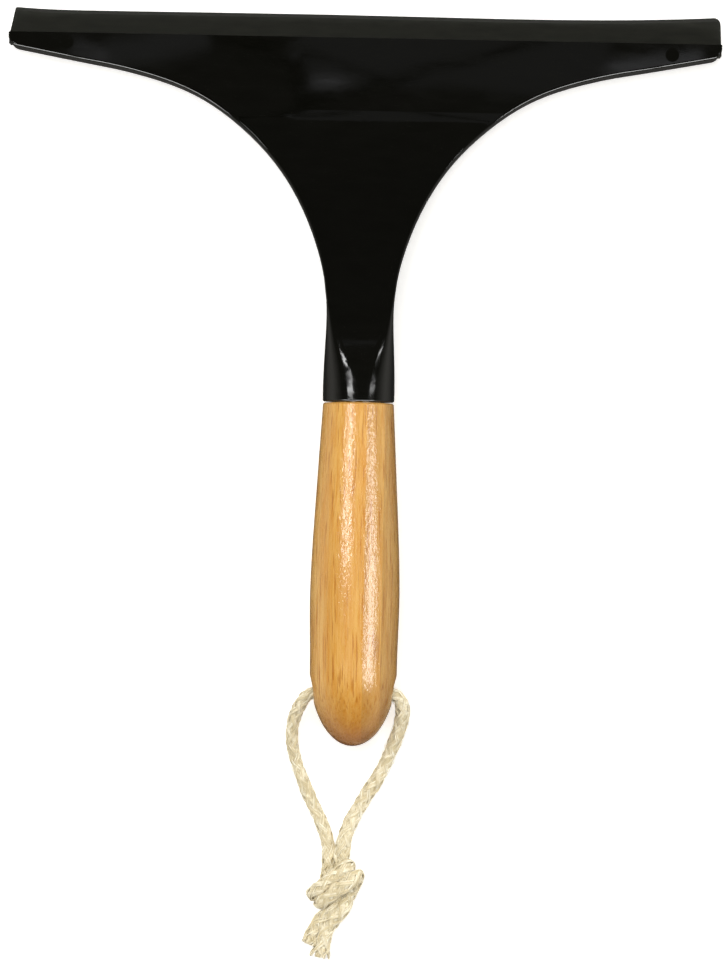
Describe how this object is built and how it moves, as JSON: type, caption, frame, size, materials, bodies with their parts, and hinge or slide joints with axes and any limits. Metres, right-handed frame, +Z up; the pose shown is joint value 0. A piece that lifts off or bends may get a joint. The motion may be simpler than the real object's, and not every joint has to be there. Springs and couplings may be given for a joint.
{
  "type": "window cleaning squeegee",
  "caption": "Hand squeegee with a wide T-shaped black plastic head, sliding rubber blade, turned laminated bamboo handle and a knotted cotton hanging loop.",
  "frame": {"origin": "on the surface under the middle of the tool, which lies on its back; measured without the hanging cord", "axes": "+Z up, out of the front face; +Y from the handle to the rubber; +X to the right along the rubber"},
  "size_m": [0.25, 0.3336, 0.0313],
  "materials": {
    "gloss_black_plastic": "glossy moulded black",
    "blade_rubber": "matte dark grey rubber",
    "bamboo": "satin lacquered laminated bamboo, grain along the handle",
    "cotton_cord": "undyed braided cotton"
  },
  "bodies": {
    "squeegee": {"head_body": "gloss_black_plastic", "back_cover": "gloss_black_plastic", "bamboo_outer_left": "bamboo", "bamboo_left": "bamboo", "bamboo_middle": "bamboo", "bamboo_right": "bamboo", "bamboo_outer_right": "bamboo"},
    "blade": {"rubber_blade": "blade_rubber"},
    "cord_loop": {"cord_left_leg": "cotton_cord", "cord_right_leg": "cotton_cord", "cord_knot": "cotton_cord", "cord_tails": "cotton_cord"}
  },
  "joints": [
    {"name": "blade_slide", "type": "slide", "parent": "squeegee", "child": "blade", "axis": [1, 0, 0], "range_m": [-0.24, 0.24]},
    {"name": "loop_swing", "type": "hinge", "parent": "squeegee", "child": "cord_loop", "pos_m": [0, -0.109, 0.01565], "axis": [-1, 0, 0], "range_deg": [0, 140]}
  ]
}
